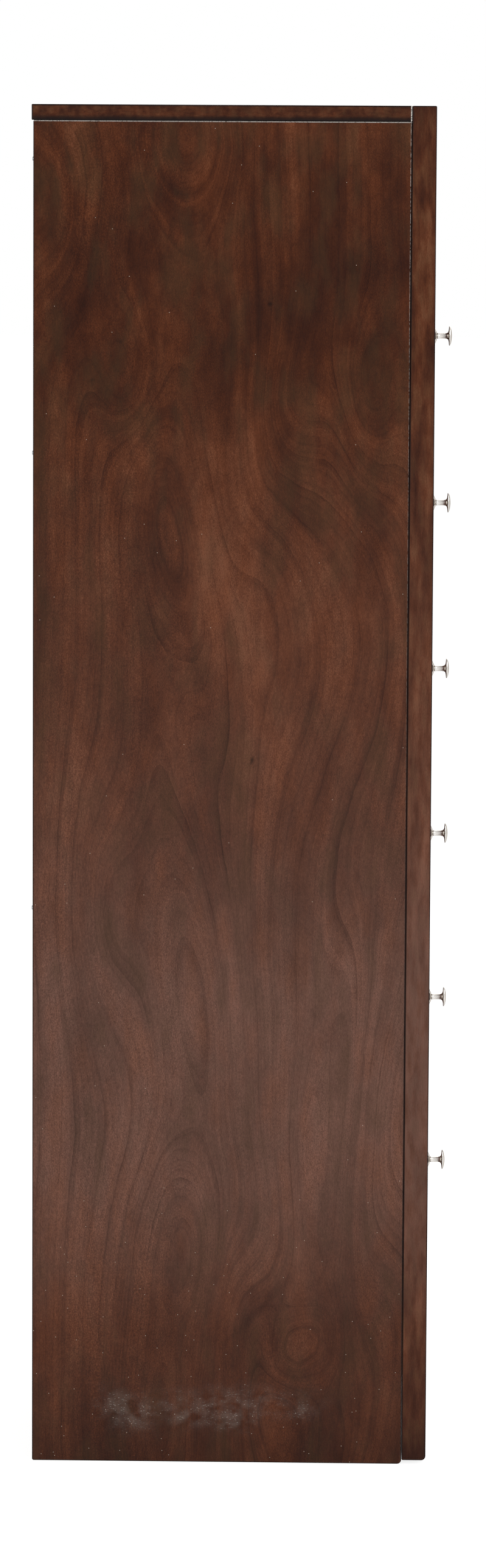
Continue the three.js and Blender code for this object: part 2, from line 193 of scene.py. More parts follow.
floor_finish, _, add = new_finish("pale_floor")
bounced = add("BsdfDiffuse", {"Color": linear("#dcdad7")})
shaded = add("BsdfDiffuse", {"Color": linear("#989898")})
lit = add("Emission", {"Color": linear("#ffffff"), "Strength": floor_white})
shown = add("AddShader", {0: shaded, 1: lit})
floor_mix = add("MixShader", {0: seen_directly(add), 1: bounced, 2: shown})
floor_output = floor_finish.node_tree.nodes["Material Output"]
floor_finish.node_tree.links.new(floor_mix, floor_output.inputs["Surface"])

floor_half = 40  # metres
mesh = bmesh.new()
bmesh.ops.create_grid(mesh, x_segments=1, y_segments=1, size=floor_half)
floor_mesh = bpy.data.meshes.new("floor")
mesh.to_mesh(floor_mesh)
mesh.free()
floor_mesh.materials.append(floor_finish)
floor = bpy.data.objects.new("floor", floor_mesh)
bpy.context.scene.collection.objects.link(floor)

chest_middle = (chest_low + chest_high) / 2
lamps = {  # azimuth in degrees, height, distance and size across in metres, power in watts
    "key_lamp": (300, 3.0, 5.0, 2.6, 98),
    "side_lamp": (240, 1.6, 5.5, 2.4, 50),
    "front_lamp": (20, 2.8, 5.0, 2.4, 58),
    "far_lamp": (80, 2.8, 5.0, 2.4, 56),
    "back_lamp": (165, 2.8, 5.0, 2.4, 58),
}
for name, (azimuth, height, distance, size, power) in lamps.items():
    turn = math.radians(azimuth)
    lamp_data = bpy.data.lights.new(name, "AREA")
    lamp_data.shape = "SQUARE"
    lamp_data.size = size
    lamp_data.energy = power
    lamp = bpy.data.objects.new(name, lamp_data)
    lamp.location = (distance * math.sin(turn), -distance * math.cos(turn), height)
    lamp.rotation_euler = (chest_middle - lamp.location).to_track_quat("-Z", "Y").to_euler()
    bpy.context.scene.collection.objects.link(lamp)
    print(name, [round(v, 2) for v in lamp.location])

# %% [markdown]
# All the woods share a few traits. Fibres are streaks, far longer than they are wide, so
# their noise is squeezed across the grain. Growth rings are lines where the wood's year
# changes: a height is given to each place, as on a map, and a ring is drawn where the
# height passes a whole number. A saw-tooth gives each ring its soft side and sharp side.
# Real fibres and pores are about a tenth of a millimetre wide, too fine for this picture,
# so they are drawn several times as coarse.

# %% Grain and fibres
quarter_turn = math.pi / 2
turns_to_grain = {  # the turn that brings each axis to Z, along which the grain is drawn
    "X": (0, -quarter_turn, 0),
    "Y": (quarter_turn, 0, 0),
    "Z": (0, 0, 0),
}
fibre_width, pore_width = 0.9 * MM, 0.7 * MM  # coarser than real ones, so that they show
fibre_depth = 0.08 * MM  # how far the lacquer sinks into the grain


def grain_place(add, along):
    """The place on the piece in metres, turned so that the grain runs along Z."""
    place = add("TexCoord", out=3)
    return add("Mapping", {"Vector": place, "Rotation": turns_to_grain[along]})


def streaks(add, place, width, length, detail=2.0):
    """Noise drawn out along the grain, with its width and length in metres."""
    drawn_out = add("Mapping", {"Vector": place, "Scale": (1 / width, 1 / width, 1 / length)})
    return add("TexNoise", {"Vector": drawn_out, "Scale": 1.0, "Detail": detail})


def ring_edges(add, height, sharpness):
    """Ring edges, from 0 between them to 1 on them, at each whole height."""
    year = add("Math", {0: height}, operation="FRACT")
    return add("Math", {0: year, 1: sharpness}, operation="POWER")


# %% [markdown]
# A wood's tone is a number about a half, darker below and lighter above, to which each
# layer of grain adds a little. A ramp turns the tone into a colour, and dust, end grain
# and bare wood are laid over that colour, each only where it lies on the real piece.

# %% Tones and layers
grain_axes = {"X": (1, 0, 0), "Y": (0, 1, 0), "Z": (0, 0, 1)}


def blend_tone(add, start, layers):
    """Add layers, each a noise about a half and its weight, to a starting tone."""
    tone = start
    for layer, weight in layers:
        centred = add("Math", {0: layer, 1: 0.5}, operation="SUBTRACT")
        tone = add("Math", {0: centred, 1: weight, 2: tone}, operation="MULTIPLY_ADD")
    return tone


def paint_over(add, colour, layers):
    """Lay paints over a colour, each where its share is above 0."""
    for share, paint in layers:
        colour = add("Mix", {0: share, 6: colour, 7: paint}, out=2, data_type="RGBA")
    return colour


def end_grain(add, along):
    """1 where the surface cuts across the grain, 0 where it runs along it."""
    facing = add("TexCoord", out=1)
    lined_up = add(
        "VectorMath", {0: facing, 1: grain_axes[along]}, out=1, operation="DOT_PRODUCT"
    )
    either_way = add("Math", {0: lined_up}, operation="ABSOLUTE")
    return add("MapRange", {"Value": either_way, "From Min": 0.6, "From Max": 0.95})


# %% [markdown]
# The arrises, the long sharp corners of a piece, are darkened nearly to black with painted
# shade, where eased corners turn from the light and joints leave a shadowed groove. To find
# them, a place on the surface of a squared piece is measured inwards along three axes. The
# smallest of the three is its own face, so the middle one is its distance from the nearest
# arris.

# %% Distance from an arris
def from_arris(add, low, high):
    """The distance of a place on a squared piece from the nearest arris."""
    middle, half = (low + high) / 2, (high - low) / 2
    from_middle = add("VectorMath", {0: add("TexCoord", out=3), 1: middle}, operation="SUBTRACT")
    either_side = add("VectorMath", {0: from_middle}, operation="ABSOLUTE")
    inwards = add("VectorMath", {0: half, 1: either_side}, operation="SUBTRACT")
    x, y, z = add("SeparateXYZ", {0: inwards}).node.outputs
    least = add("Math", {0: x, 1: y}, operation="MINIMUM")
    other = add("Math", {0: x, 1: y}, operation="MAXIMUM")
    other_or_end = add("Math", {0: other, 1: z}, operation="MINIMUM")
    return add("Math", {0: least, 1: other_or_end}, operation="MAXIMUM")


# %% [markdown]
# Inside the case, out of sight, the wood is left bare, as a maker leaves it. It is poplar,
# pale and faintly green-grey, planed but not lacquered. Its colour is made as a function,
# because the stained pieces show it too, on the faces that look into the case.

# %% Bare wood
def bare_colour(add, place):
    """Planed poplar: pale, with broad soft rings and fine fibres."""
    broad = streaks(add, place, 14 * MM, 240 * MM, 3.0)
    fine = streaks(add, place, fibre_width, 40 * MM)
    tone = blend_tone(add, 0.5, [(broad, 1.1), (fine, 0.35)])
    return add("ValToRGB", {"Fac": tone}, stops=[
        (0.15, "#8f7650"), (0.45, "#b79a6c"), (0.62, "#c3a87c"), (0.9, "#d3bd95"),
    ])


# %% [markdown]
# The side panels carry the picture of this chest: veneer cut flat from the log, so the
# growth rings meander, close into long ovals and run round a knot. An image could be laid
# on, but it would not stay sharp or follow other sizes. Instead the panel has a landscape:
# a wide valley, and low hills and hollows, each with a place, a half width and a half
# height in millimetres, a lean in radians and a rise counted in rings.

# %% The landscape of the veneer
valley_middle, valley_softness, rings_per_mm = 100, 98, 0.03
hills = [
    (248, 1154, 64, 500, -0.13, -2.66),
    (148, 1151, 38, 323, -0.24, -3.05),
    (177, 1539, 59, 79, 0.10, -3.54),
    (393, 974, 113, 244, 0.02, -4.73),
    (470, 727, 100, 499, 0.51, -2.52),
    (206, 507, 73, 303, 0.02, -4.18),
    (216, 258, 104, 118, -0.45, -3.65),
    (155, 21, 72, 201, -0.06, -5.99),
    (359, 358, 28, 213, 0.07, -2.48),
    (307, 133, 38, 54, 0.60, -3.24),
    (385, 1236, 32, 97, -0.02, 2.10),
    (384, 53, 73, 342, 0.35, -3.49),
    (112, 1271, 37, 116, -0.15, 4.93),
    (84, 645, 49, 173, -0.06, -2.52),
    (138, 939, 56, 500, -0.07, -2.59),
    (33, 1474, 83, 128, 0.11, 3.50),
    (287, 1220, 48, 115, 0.19, 2.26),
    (253, 158, 35, 248, -0.26, 2.29),
]
pin_knots = [  # place, half width, half height, lean and darkness
    (254, 823, 1.4, 4, 0.1, 0.7),
    (271, 1350, 2.2, 2.2, 0, 0.5),
    (69, 1262, 3, 2, 0, 0.35),
]
stain_pools = [  # where the stain soaked in deeper, or where it is thin, with a minus
    (96, 1440, 22, 60, 0.15, 0.18),
    (205, 1288, 18, 45, 0, 0.11),
    (203, 905, 26, 50, 0, 0.14),
    (132, 866, 22, 30, 0.2, 0.13),
    (52, 480, 10, 60, -0.1, 0.18),
    (388, 1395, 60, 30, 0, 0.10),
    (250, 1508, 40, 50, 0, 0.10),
    (398, 640, 16, 24, 0.2, 0.12),
    (262, 180, 5, 46, 0.75, 0.2),
    (62, 1112, 30, 95, 0, 0.2),
    (175, 630, 38, 110, 0, 0.13),
    (392, 866, 30, 60, 0, 0.09),
    (46, 734, 30, 30, 0, 0.07),
    (352, 1392, 26, 20, 0, 0.1),
    (377, 1294, 16, 20, 0, 0.09),
    (44, 236, 25, 45, 0, 0.08),
    (204, 1368, 18, 70, 0, -0.12),
    (72, 1405, 20, 80, 0.25, -0.1),
    (248, 1206, 30, 60, 0, -0.08),
    (90, 905, 20, 45, 0, -0.09),
    (300, 950, 16, 90, 0, -0.07),
    (20, 1468, 20, 30, 0, -0.1),
    (328, 1540, 40, 20, 0, -0.1),
    (204, 125, 45, 45, 0, -0.08),
]


def sum_of_hills(add, place, hills, start=0.0):
    """Add rounded hills to a height, each falling away as a bell."""
    height = start
    for across, up, half_width, half_height, lean, rise in hills:
        inside = add("Mapping", {
            "Vector": place,
            "Location": (across * MM, 0, up * MM),
            "Rotation": (0, lean, 0),
            "Scale": (half_width * MM, 1, half_height * MM),
        }, vector_type="TEXTURE")
        flat = add("VectorMath", {0: inside, 1: (1, 0, 1)}, operation="MULTIPLY")
        squared = add("VectorMath", {0: flat, 1: flat}, out=1, operation="DOT_PRODUCT")
        bell = add("Math", {0: 1 / math.e, 1: squared}, operation="POWER")
        height = add("Math", {0: bell, 1: rise, 2: height}, operation="MULTIPLY_ADD")
    return height


def veneer_height(add, place):
    """The height in rings: the valley's slopes, then the hills."""
    across = add("SeparateXYZ", {0: place}, out=0)
    aside = add("Math", {0: across, 1: valley_middle * MM}, operation="SUBTRACT")
    softened = add(
        "Math", {0: aside, 1: aside, 2: (valley_softness * MM) ** 2}, operation="MULTIPLY_ADD"
    )
    slope = add("Math", {0: softened}, operation="SQRT")
    valley = add("Math", {0: slope, 1: rings_per_mm / MM}, operation="MULTIPLY")
    return sum_of_hills(add, place, hills, valley)


print(len(hills), "hills,", len(pin_knots), "pin knots,", len(stain_pools), "pools of stain")

# %% [markdown]
# The landscape is drawn with a slightly unsteady hand, as wood grows, so the place is
# first moved by a few millimetres of soft noise. The rings then give whole zones that are
# lighter or darker, sharp dark edges that come and go, pale lines between them, and a few
# finer lines in each ring. The short fibres lean the way the rings do.

# %% The figure of the veneer
wander = Vector((9 * MM, 0, 12 * MM))
waves_per_metre = (30, 30, 11)  # the noise swings more often across the sheet than up it
zone_change = 1.8  # how fast a zone changes upwards, counted in rings for each metre
zones_per_ring, fine_lines_per_ring, pale_lines_per_ring = 1.3, 4.3, 2.0
lean_per_ring = 8 * MM


def unsteady(add, sheet):
    """The place on the sheet, moved about by soft noise."""
    drawn_out = add("Mapping", {"Vector": sheet, "Scale": waves_per_metre})
    noise = add("TexNoise", {"Vector": drawn_out, "Scale": 1.0, "Detail": 3.0}, out=1)
    moved_back = add("VectorMath", {0: sheet, 1: wander / 2}, operation="SUBTRACT")
    return add("VectorMath", {0: noise, 1: wander, 2: moved_back}, operation="MULTIPLY_ADD")


def veneer_rings(add, sheet, height):
    """Zones that follow the rings, a share that is 1 on the pale ones, and the ring lines."""
    up = add("SeparateXYZ", {0: sheet}, out=2)
    upwards = add("Math", {0: up, 1: zone_change}, operation="MULTIPLY")
    along_ring = add("CombineXYZ", {0: height, 2: upwards})
    zones = add("TexNoise", {"Vector": along_ring, "Scale": zones_per_ring, "Detail": 1.5})
    pale_zone = add("MapRange", {
        "Value": zones, "From Min": 0.4, "From Max": 0.6,
    }, interpolation_type="SMOOTHSTEP")
    uneven = streaks(add, sheet, 34 * MM, 170 * MM)
    fine_height = add(
        "Math", {0: height, 1: fine_lines_per_ring, 2: uneven}, operation="MULTIPLY_ADD"
    )
    fine_lines = ring_edges(add, fine_height, 5.0)
    shown = add("MapRange", {"Value": uneven, "From Min": 0.35, "From Max": 0.7})
    dark_edges = add("Math", {0: ring_edges(add, height, 12.0), 1: shown}, operation="MULTIPLY")
    pale_height = add(
        "Math", {0: height, 1: pale_lines_per_ring, 2: 0.4}, operation="MULTIPLY_ADD"
    )
    pale_edges = ring_edges(add, pale_height, 14.0)
    pale_lines = add("Math", {0: pale_edges, 1: shown}, operation="MULTIPLY")
    lines = [(fine_lines, -0.08), (dark_edges, -0.25), (pale_lines, 0.1)]
    return [(pale_zone, 0.06), (zones, 0.36)], pale_zone, lines


def leaning_fibres(add, sheet, height, pale_zone):
    """Short fibres and pores that lean with the rings and show most in pale zones."""
    aside = add("Math", {0: height, 1: lean_per_ring}, operation="MULTIPLY")
    leaning = add("VectorMath", {0: sheet, 1: add("CombineXYZ", {0: aside})}, operation="ADD")
    fibres = streaks(add, leaning, fibre_width, 7 * MM, 3.0)
    pores = streaks(add, leaning, pore_width, 2 * MM)
    pore_weight = add("Math", {0: pale_zone, 1: 0.35, 2: 0.42}, operation="MULTIPLY_ADD")
    return fibres, [(fibres, 0.3), (pores, pore_weight)]


# %% [markdown]
# The colour is not the same all the way up the chest. High up it is dark and red. Lower
# down a greyish painted reflection of the pale floor is laid over the stain, and near the
# floor it is dark again. Two ramps turn a tone into the red stain and the grey of the painted
# reflection, and two lists give the share of painted reflection and the level of the tone at
# each share of the height. The hue drifts as well: some places turn towards olive, and others
# glow red, as if seen through reddish glass.

# %% The stain and its painted reflection
red_stain = [
    (0.0, "#25110a"), (0.25, "#33180e"), (0.5, "#432213"), (0.75, "#58301c"), (1.0, "#71442d"),
]
# The greys of the painted reflection of the pale floor, for each tone.
painted_reflection_colours = [
    (0.0, "#4a332b"), (0.25, "#553b32"), (0.5, "#61443a"), (0.75, "#6e4e43"), (1.0, "#7d594d"),
]
# The share of painted floor reflection laid over the stain at each share of the height.
painted_reflection_by_height = [
    (0.0, 0.12), (0.1, 0.24), (0.21, 0.95), (0.36, 1.0), (0.48, 0.42), (0.58, 0.24), (0.68, 0.15),
    (0.82, 0.01),
]
level_by_height = [
    (0.0, 0.28), (0.08, 0.42), (0.16, 0.45), (0.28, 0.42), (0.36, 0.39), (0.43, 0.41),
    (0.5, 0.49), (0.56, 0.53), (0.65, 0.55), (0.76, 0.47), (0.83, 0.42), (0.92, 0.44),
    (1.0, 0.44),
]
olive_stain = "#41321f"
ruddy_glass = "#ffe4c6"


def stain_level(add, up_share):
    """The tone to start from at a share of the chest's height."""
    return add("ValToRGB", {"Fac": up_share}, stops=level_by_height)


def crispness(add, up_share):
    """The weight of fine grain, which must grow where the painted reflection flattens it."""
    painted_reflection_share = add("ValToRGB", {"Fac": up_share}, stops=painted_reflection_by_height)
    return add("Math", {0: painted_reflection_share, 1: 0.9, 2: 1.0}, operation="MULTIPLY_ADD")


def stain_colour(add, tone, up_share, hue):
    """The stain for a tone, with its painted floor reflection and a hue that drifts about a half.
    """
    red = add("ValToRGB", {"Fac": tone}, stops=red_stain)
    reflected_grey = add("ValToRGB", {"Fac": tone}, stops=painted_reflection_colours)
    painted_reflection_share = add("ValToRGB", {"Fac": up_share}, stops=painted_reflection_by_height)
    olive_share = add("MapRange", {
        "Value": hue, "From Min": 0.5, "From Max": 0.7, "To Max": 0.28,
    })
    stain = paint_over(add, red, [(painted_reflection_share, reflected_grey), (olive_share, linear(olive_stain))])
    ruddy_share = add("MapRange", {
        "Value": hue, "From Min": 0.56, "From Max": 0.32, "To Max": 0.45,
    })
    return add(
        "Mix", {0: ruddy_share, 6: stain, 7: linear(ruddy_glass)}, out=2,
        data_type="RGBA", blend_type="MULTIPLY",
    )


# %% [markdown]
# An old chest that has stood in a store is dusty. Dust and a painted highlight on the eased
# arrises lie as a crumbly pale line in the joint under the top and beside the stile, and
# dust lies as single specks on the face. Near the floor the lacquer has been rubbed, and
# the scuffs are pale scratches in a long patch.

# %% Dust and painted highlight in the joints of the side panels
panel_low, panel_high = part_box("left_side_panel")
panel_depth = panel_high.y - panel_low.y
crumb_width = 1.1 * MM
front_dust_and_highlight_line = 1.2 * MM  # from the panel's front edge
# How strong the pale line of dust and painted highlight at the front joint is, by height.
front_dust_and_highlight_by_height = [(0.0, 0.1), (0.1, 0.03), (0.5, 0.07), (0.8, 0.32), (0.97, 0.72)]


def joint_dust_and_highlight(add, on_panel, up_share, from_front, from_top):
    """Crumbs of dust and painted highlight in the joints at the front and top edge."""
    crumbs = streaks(add, on_panel, crumb_width, 3 * MM, 1.0)
    high_up = add("ValToRGB", {"Fac": up_share}, stops=front_dust_and_highlight_by_height)
    from_line = add("Math", {0: from_front, 1: front_dust_and_highlight_line}, operation="SUBTRACT")
    either_side = add("Math", {0: from_line}, operation="ABSOLUTE")
    at_front = add("MapRange", {
        "Value": either_side, "From Min": 0.42 * MM, "From Max": 0.16 * MM,
    })
    dotted = add("MapRange", {"Value": crumbs, "From Min": 0.36, "From Max": 0.62})
    crumbled = add("MapRange", {"Value": crumbs, "From Min": 0.2, "From Max": 0.5})
    dotted_high_up = add("Math", {0: dotted, 1: high_up}, operation="MULTIPLY")
    in_front_joint = add("Math", {0: at_front, 1: dotted_high_up}, operation="MULTIPLY")
    at_top = add("MapRange", {
        "Value": from_top, "From Min": 1.5 * MM, "From Max": 1.0 * MM, "To Max": 0.7,
    })
    in_top_joint = add("Math", {0: at_top, 1: crumbled}, operation="MULTIPLY")
    return add("Math", {0: in_front_joint, 1: in_top_joint}, operation="MAXIMUM")


# %% [markdown]
# Specks could be laid out one by one. Here the face is divided into small squares, each
# draws a lot, and the ones that win get a round speck somewhere inside. A rubbed place is
# a low hill, as in the veneer's landscape, and clouds of noise break it into soft haze with
# short bright scratches.

# %% Specks and scuffs
specks_per_metre = 80
speck_radius = 0.42 * MM


def specks(add, flat, rarity):
    """Round specks in some of many small squares, fewer as the rarity nears 1."""
    squares = add(
        "TexVoronoi", {"Vector": flat, "Scale": specks_per_metre}, voronoi_dimensions="2D"
    )
    # Blue is the lot, because red and green also say where the speck lies in its square.
    lot = add("SeparateColor", {0: squares.node.outputs["Color"]}, out=2)
    chosen = add("Math", {0: lot, 1: rarity}, operation="GREATER_THAN")
    rim = speck_radius * specks_per_metre
    round_speck = add("MapRange", {
        "Value": squares, "From Min": 1.4 * rim, "From Max": 0.6 * rim,
    })
    return add("Math", {0: round_speck, 1: chosen}, operation="MULTIPLY")


rubbed_places = [  # place, half width, half height, lean and strength, as for the hills
    (220, 68, 76, 17, -0.05, 0.75), (110, 60, 26, 17, 0.5, 1.0), (236, 48, 20, 9, -0.1, 0.9),
    (180, 52, 18, 9, 0.1, 0.5), (318, 62, 14, 9, -0.2, 0.45),
]


def scuffs(add, on_panel, strength):
    """Soft pale clouds with short bright scratches in the rubbed places near the floor."""
    rubbed = sum_of_hills(add, on_panel, rubbed_places)
    cloudy = streaks(add, on_panel, 16 * MM, 12 * MM, 6.0)
    haze = add("MapRange", {"Value": cloudy, "From Min": 0.36, "From Max": 0.7, "To Max": 0.18})
    crumbs = streaks(add, on_panel, 2.2 * MM, 1.1 * MM, 2.0)
    where_cloudy = add("MapRange", {"Value": cloudy, "From Min": 0.42, "From Max": 0.56})
    bright = add("MapRange", {"Value": crumbs, "From Min": 0.6, "From Max": 0.7, "To Max": 0.65})
    scratches = add("Math", {0: bright, 1: where_cloudy}, operation="MULTIPLY")
    both = add("Math", {0: haze, 1: scratches}, operation="MAXIMUM")
    shown = add("Math", {0: both, 1: strength}, operation="MULTIPLY")
    return add("Math", {0: rubbed, 1: shown}, operation="MULTIPLY")


# %% [markdown]
# Stain soaks into a sheet of veneer unevenly. So its tone is the sum of many layers: the
# level for the height above the floor, the zones and lines of the rings, the fibres, and
# cloudy patches, blotches and mottle that were left by the wiping rag. The clouds are
# strongest near the top of the chest, where the stain is darkest.

# %% The veneer's tone and hue
def stained_sheet(add, sheet, up_share):
    """The stain's colour on a sheet, and the fibres and blotches that roughen it."""
    wavy = unsteady(add, sheet)
    height = veneer_height(add, wavy)
    zone_layers, pale_zone, line_layers = veneer_rings(add, sheet, height)
    fibres, fibre_layers = leaning_fibres(add, sheet, height, pale_zone)
    patches = streaks(add, sheet, 70 * MM, 230 * MM, 3.0)
    blotches = streaks(add, wavy, 13 * MM, 28 * MM, 4.0)
    mottle = streaks(add, sheet, 2.4 * MM, 4 * MM, 3.0)
    fine = blend_tone(add, 0.5, [*line_layers, *fibre_layers, (mottle, 0.24)])
    clouds = blend_tone(add, 0.5, [*zone_layers, (patches, 1.0), (blotches, 0.46)])
    cloudiness = add("MapRange", {
        "Value": up_share, "From Min": 0.6, "From Max": 0.92, "To Min": 0.86, "To Max": 1.2,
    })
    tone = blend_tone(add, stain_level(add, up_share), [
        (clouds, cloudiness), (fine, crispness(add, up_share)),
    ])
    pooled = sum_of_hills(add, wavy, stain_pools + pin_knots)
    tone = add("Math", {0: tone, 1: pooled}, operation="SUBTRACT")
    drift = streaks(add, wavy, 24 * MM, 70 * MM, 5.0)
    drifted = blend_tone(add, drift, [(pale_zone, -0.06)])
    hue = blend_tone(add, 0.5, [(drifted, cloudiness)])
    return stain_colour(add, tone, up_share, hue), fibres, blotches


# %% [markdown]
# All of this comes together in one finish: flat-cut veneer, stained dark and lacquered to
# a satin, so it has a soft wide sheen and no mirror. The far panel has the same sheet
# turned end for end, as a maker matches two sides, and it has been rubbed less.

# %% Stained veneer of the side panels
bare_margin = 0.6 * MM  # beside a bare face, this much of the edge is bare as well
# The first is painted shade for the arrises and joints; the second is the end grain's darker
# stain.
painted_arris_shade, end_stain = "#120c0c", "#22150f"
# Pale dust with a painted highlight of the lit arrises, for the joints of panels and top.
panel_joint_dust_and_highlight_colour, top_edge_dust_and_highlight_colour = "#b9b1aa", "#ddd8d2"
satin = dict(Roughness=0.4, Specular_IOR_Level=0.08)


def side_veneer(name, end_for_end, scuff_strength):
    """Stained, satin-lacquered flat-cut veneer, bare on the face inside the case."""
    material, shader, add = new_finish(name, **satin)
    on_panel = add("Mapping", {
        "Vector": add("TexCoord", out=3),
        "Rotation": (0, 0, quarter_turn),
        "Location": (panel_high.y, 0, 0),
    })
    sheet = on_panel
    if end_for_end:
        sheet = add("Mapping", {
            "Vector": on_panel,
            "Scale": (1, 1, -1),
            "Location": (0, 0, panel_high.z),
        })
    across, sideways, up = add("SeparateXYZ", {0: on_panel}).node.outputs
    up_share = add("Math", {0: up, 1: panel_high.z}, operation="DIVIDE")
    stain, fibres, blotches = stained_sheet(add, sheet, up_share)

    from_front = add("Math", {0: panel_depth, 1: across}, operation="SUBTRACT")
    from_top = add("Math", {0: panel_high.z, 1: up}, operation="SUBTRACT")
    # Painted shade: the arrises and the groove beside the stile, darkened nearly to black.
    near_arris = add("MapRange", {
        "Value": from_arris(add, panel_low, panel_high),
        "From Min": 1.8 * MM, "From Max": 0.5 * MM, "To Max": 0.85,
    }, interpolation_type="SMOOTHSTEP")
    flat = add("CombineXYZ", {0: across, 1: up})
    scuffed = scuffs(add, on_panel, scuff_strength)
    rarity = add("MapRange", {
        "Value": up_share, "From Min": 0.07, "From Max": 0.24, "To Min": 0.83, "To Max": 0.985,
    })
    dusted = add("Math", {0: specks(add, flat, rarity), 1: 0.7}, operation="MULTIPLY")
    on_face = add("Math", {0: sideways}, operation="ABSOLUTE")
    stained_from = abs(panel_high.x) + bare_margin
    inner = add("Math", {0: on_face, 1: stained_from}, operation="LESS_THAN")
    # Over the stain: painted shade on arrises, dust with painted highlight in joints, specks,
    # scuffs, bare inside.
    colour = paint_over(add, stain, [
        (near_arris, linear(painted_arris_shade)),
        (joint_dust_and_highlight(add, on_panel, up_share, from_front, from_top), linear(panel_joint_dust_and_highlight_colour)),
        (dusted, linear("#c4b4a4")),
        (scuffed, linear("#c6bcb4")),
        (inner, bare_colour(add, on_panel)),
    ])
    roughness = blend_tone(add, satin["Roughness"], [
        (fibres, 0.12), (blotches, 0.1), (scuffed, 0.5),
    ])
    relief = add("Bump", {"Height": fibres, "Strength": 0.25, "Distance": fibre_depth})
    feed(shader, Base_Color=colour, Roughness=roughness, Normal=relief)
    return material


dress(side_veneer("stained_flat_cut_veneer", False, 0.8), "left_side_panel")
dress(side_veneer("stained_flat_cut_veneer_matched", True, 0.25), "right_side_panel")

# %% [markdown]
# The stiles, rails, apron, top and drawer fronts are straighter wood in the same stain.
# They could share one material, but the grain runs along each piece and the painted shade
# lies on its own arrises, so a function makes one for each. Where a piece turns its back to
# the case, the bare wood is left.

# %% The tone of straight wood
ring_width = 5 * MM
ring_bend = 30 * MM


def straight_tone(add, place, up_share, lift):
    """The tone of stained straight wood, and the fibres and blotches that roughen it."""
    bends = streaks(add, place, 60 * MM, 500 * MM)
    across = add("SeparateXYZ", {0: place}, out=0)
    bent = add("Math", {0: bends, 1: ring_bend, 2: across}, operation="MULTIPLY_ADD")
    rings = add("Math", {0: bent, 1: 1 / ring_width}, operation="MULTIPLY")
    patches = streaks(add, place, 16 * MM, 80 * MM, 3.0)
    blotches = streaks(add, place, 7 * MM, 24 * MM, 4.0)
    fibres = streaks(add, place, fibre_width, 11 * MM, 3.0)
    pores = streaks(add, place, pore_width, 2.6 * MM)
    if isinstance(lift, list):
        lift = add("ValToRGB", {"Fac": up_share}, stops=lift)
    tone = blend_tone(add, stain_level(add, up_share), [
        (patches, 1.1), (blotches, 0.85), (fibres, 0.34), (pores, 0.38),
        (ring_edges(add, rings, 4.0), -0.1), (lift, 1.0),
    ])
    return tone, fibres, blotches


def joint_shade_dust_and_highlight(add, place, low, y, z):
    """The top panel's layers above the joint: a band of painted shade, and dust with a painted
    highlight at the front edge.
    """
    # Painted shade: a dark band just above the joint, where the top's lower edge is in shadow.
    near_joint = add("MapRange", {
        "Value": z, "From Min": low.z + 7 * MM, "From Max": low.z + 2.5 * MM, "To Max": 0.8,
    }, interpolation_type="SMOOTHSTEP")
    crumbs = streaks(add, place, crumb_width, 2.4 * MM, 1.0)
    broken = add("MapRange", {"Value": crumbs, "From Min": 0.3, "From Max": 0.5})
    at_front = add("MapRange", {
        "Value": y, "From Min": low.y + 1.6 * MM, "From Max": low.y + 1.1 * MM,
    })
    dust_and_highlight = add("Math", {0: at_front, 1: broken}, operation="MULTIPLY")
    return [(near_joint, linear(painted_arris_shade)), (dust_and_highlight, linear(top_edge_dust_and_highlight_colour))]


# %% [markdown]
# The pieces' stain is darkened where end grain drank more of it, and painted shade darkens the
# arrises.
# The lacquer has the same satin sheen as on the panels, a little uneven along the fibres.

# %% Stained solid wood
def stained_solid(
    piece, along, bare_behind=None, lift=0.5, arris_width=1.4, end_shade=0.5, top_joint_shade_dust_and_highlight=False
):
    """Stained and lacquered straight-grained wood, which may be bare behind a plane."""
    material, shader, add = new_finish(f"stained_{piece}", **satin)
    low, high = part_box(piece)
    place = grain_place(add, along)
    y, z = add("SeparateXYZ", {0: add("TexCoord", out=3)}).node.outputs[1:]
    up_share = add("Math", {0: z, 1: chest_high.z}, operation="DIVIDE")
    tone, fibres, blotches = straight_tone(add, place, up_share, lift)
    stained = stain_colour(add, tone, up_share, blotches)

    # Painted shade on the arrises, nearly black.
    near_arris = add("MapRange", {
        "Value": from_arris(add, low, high),
        "From Min": arris_width * MM, "From Max": 0.35 * arris_width * MM, "To Max": 0.85,
    }, interpolation_type="SMOOTHSTEP")
    end_share = add("Math", {0: end_grain(add, along), 1: end_shade}, operation="MULTIPLY")
    layers = [(end_share, linear(end_stain)), (near_arris, linear(painted_arris_shade))]
    if top_joint_shade_dust_and_highlight:
        layers += joint_shade_dust_and_highlight(add, place, low, y, z)
    if bare_behind is not None:
        plane = bare_behind - bare_margin
        behind = add("Math", {0: y, 1: plane}, operation="GREATER_THAN")
        layers.append((behind, bare_colour(add, place)))
    colour = paint_over(add, stained, layers)
    roughness = blend_tone(add, satin["Roughness"], [(fibres, 0.12), (blotches, 0.1)])
    relief = add("Bump", {"Height": fibres, "Strength": 0.25, "Distance": fibre_depth})
    feed(shader, Base_Color=colour, Roughness=roughness, Normal=relief)
    dress(material, piece)


# %% [markdown]
# The stiles are a little paler than the panels in most places, and darker at both ends.
# Rails and apron run across the front, and only what shows there is stained.

